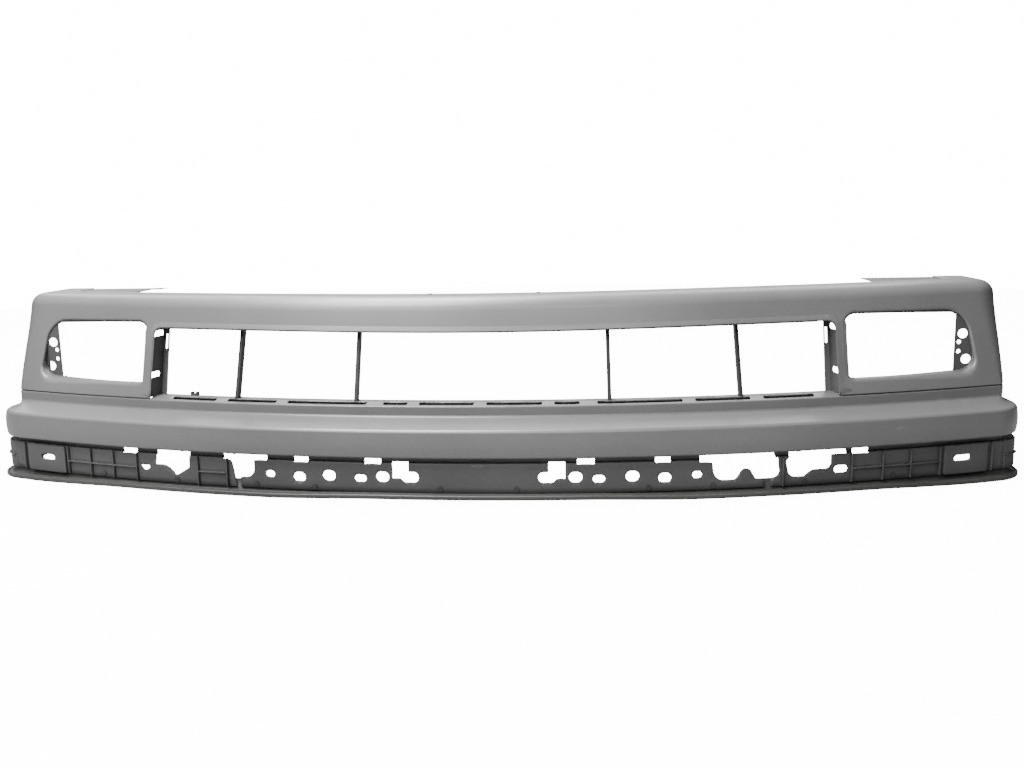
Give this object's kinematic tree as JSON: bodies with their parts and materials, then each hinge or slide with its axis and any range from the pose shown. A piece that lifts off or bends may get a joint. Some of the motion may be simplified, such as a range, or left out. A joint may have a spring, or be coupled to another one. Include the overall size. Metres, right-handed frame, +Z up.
{
  "type": "bumper cover",
  "caption": "Bowed front bumper cover with a slim strutted grille opening, a lamp opening at each end, a stepped bumper bar and a perforated ribbed lower strip with a thin lip.",
  "frame": {"origin": "middle of the bounding box in X and Y, at the lip's lowest edge", "axes": "+X to the right seen from the front, +Y from the front face towards the vehicle, +Z up"},
  "size_m": [1.768, 0.41, 0.3156],
  "materials": {
    "fascia_plastic": "satin grey primer on moulded plastic",
    "bar_plastic": "satin grey primer on moulded plastic",
    "carrier_plastic": "grained charcoal plastic",
    "lip_rubber": "flexible charcoal lip, slightly glossy edge",
    "strut_plastic": "dark plastic",
    "bracket_plastic": "dark grey plastic",
    "rivet_nylon": "black nylon",
    "rivet_steel": "zinc plated"
  },
  "bodies": {
    "root": {"upper_fascia": "fascia_plastic", "bumper_bar": "bar_plastic", "carrier_center": "carrier_plastic", "carrier_left": "carrier_plastic", "carrier_right": "carrier_plastic", "carrier_end_left": "carrier_plastic", "carrier_end_right": "carrier_plastic", "valance_lip": "lip_rubber", "grille_strut_1": "strut_plastic", "grille_strut_2": "strut_plastic", "grille_strut_3": "strut_plastic", "grille_strut_4": "strut_plastic", "header_rail": "strut_plastic", "top_rail": "bracket_plastic", "lamp_frame_left": "bracket_plastic", "lamp_frame_right": "bracket_plastic", "grille_bracket_left": "bracket_plastic", "grille_bracket_right": "bracket_plastic", "corner_flange_left": "fascia_plastic", "corner_flange_right": "fascia_plastic", "side_retainer_left": "bracket_plastic", "side_retainer_right": "bracket_plastic", "ledge_clip": "bracket_plastic", "carrier_rivets": "rivet_steel", "lip_rivets": "rivet_nylon", "top_rivets": "fascia_plastic", "retainer_rivets": "rivet_nylon"}
  },
  "joints": []
}
